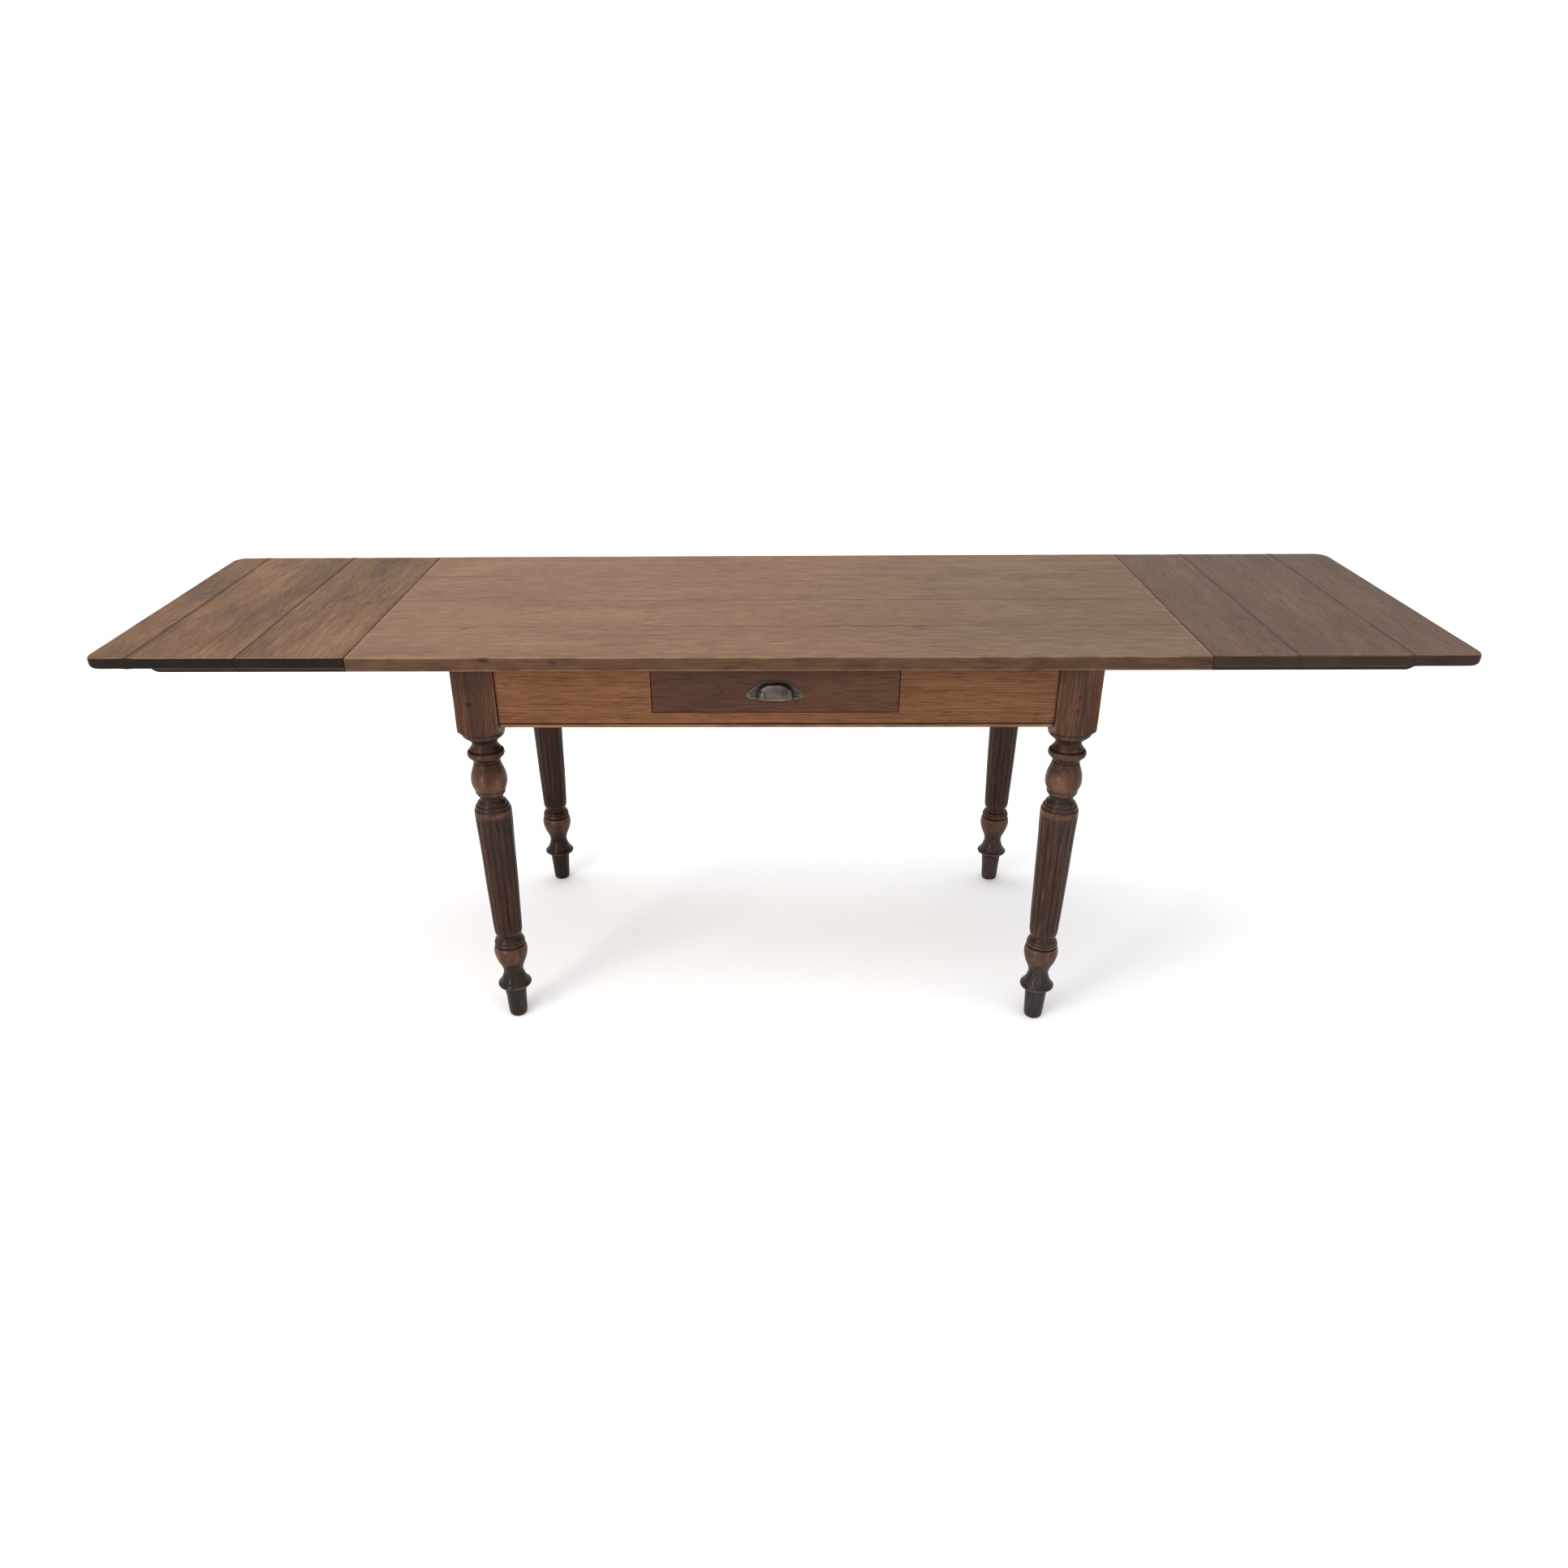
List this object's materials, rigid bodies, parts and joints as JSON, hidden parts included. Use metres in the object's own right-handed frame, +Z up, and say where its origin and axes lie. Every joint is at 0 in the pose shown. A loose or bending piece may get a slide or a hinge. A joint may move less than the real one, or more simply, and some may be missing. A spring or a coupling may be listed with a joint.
{
  "type": "extending dining table",
  "caption": "Long oak farmhouse table on turned fluted legs, with a front drawer and a pull-out, lift-off board leaf at each end riding on bearers.",
  "frame": {"origin": "middle of the footprint on the floor", "axes": "+Z up, -Y towards the drawer side (front), +X along the table's length to the right seen from the front"},
  "size_m": [2.3, 0.65, 0.75],
  "materials": {
    "top_oak": "worn oak boards, dull wax, fine grain along X",
    "left_leaf_oak": "worn warm brown oak boards with darker blotches, grain along Y",
    "right_leaf_oak": "worn grey-brown oak boards, grain along Y",
    "rail_oak": "honey brown oak, satin, horizontal grain",
    "drawer_oak": "dark brown oak, satin",
    "leg_oak": "dark brown turned oak, polished on the rings",
    "bearer_oak": "dark unpolished oak",
    "inner_wood": "plain unfinished wood",
    "peg_oak": "dark end grain of oak pegs",
    "pull_metal": "aged dark bronze with rubbed edges",
    "screw_metal": "dull dark steel"
  },
  "bodies": {
    "frame": {"top_board_1": "top_oak", "top_board_2": "top_oak", "top_board_3": "top_oak", "top_board_4": "top_oak", "leg_front_left": "leg_oak", "leg_front_right": "leg_oak", "leg_back_left": "leg_oak", "leg_back_right": "leg_oak", "front_rail": "rail_oak", "back_rail": "rail_oak", "end_rail_left": "rail_oak", "end_rail_right": "rail_oak", "cross_rail_left": "inner_wood", "cross_rail_right": "inner_wood", "drawer_runner_left": "inner_wood", "drawer_runner_right": "inner_wood", "drawer_stop_left": "inner_wood", "drawer_stop_right": "inner_wood", "glue_block_front_left": "inner_wood", "glue_block_front_right": "inner_wood", "glue_block_back_left": "inner_wood", "glue_block_back_middle": "inner_wood", "glue_block_back_right": "inner_wood", "peg_front_left_long_1": "peg_oak", "peg_front_left_long_2": "peg_oak", "peg_front_left_end_1": "peg_oak", "peg_front_left_end_2": "peg_oak", "peg_front_right_long_1": "peg_oak", "peg_front_right_long_2": "peg_oak", "peg_front_right_end_1": "peg_oak", "peg_front_right_end_2": "peg_oak", "peg_back_left_long_1": "peg_oak", "peg_back_left_long_2": "peg_oak", "peg_back_left_end_1": "peg_oak", "peg_back_left_end_2": "peg_oak", "peg_back_right_long_1": "peg_oak", "peg_back_right_long_2": "peg_oak", "peg_back_right_end_1": "peg_oak", "peg_back_right_end_2": "peg_oak"},
    "drawer": {"drawer_front": "drawer_oak", "drawer_side_left": "inner_wood", "drawer_side_right": "inner_wood", "drawer_back": "inner_wood", "drawer_bottom": "inner_wood", "drawer_pull": "pull_metal", "pull_screw_left": "screw_metal", "pull_screw_right": "screw_metal"},
    "left_leaf": {"leaf_left_board_1": "left_leaf_oak", "leaf_left_board_2": "left_leaf_oak", "leaf_left_board_3": "left_leaf_oak", "bearer_left_front": "bearer_oak", "bearer_left_back": "bearer_oak"},
    "right_leaf": {"leaf_right_board_1": "right_leaf_oak", "leaf_right_board_2": "right_leaf_oak", "leaf_right_board_3": "right_leaf_oak", "bearer_right_front": "bearer_oak", "bearer_right_back": "bearer_oak"}
  },
  "joints": [
    {"name": "left_leaf_slide", "type": "slide", "parent": "frame", "child": "left_leaf", "axis": [-1, 0, 0], "range_m": [0, 0.48]},
    {"name": "right_leaf_slide", "type": "slide", "parent": "frame", "child": "right_leaf", "axis": [1, 0, 0], "range_m": [0, 0.48]},
    {"name": "drawer_slide", "type": "slide", "parent": "frame", "child": "drawer", "axis": [0, -1, 0], "range_m": [0, 0.28]}
  ]
}
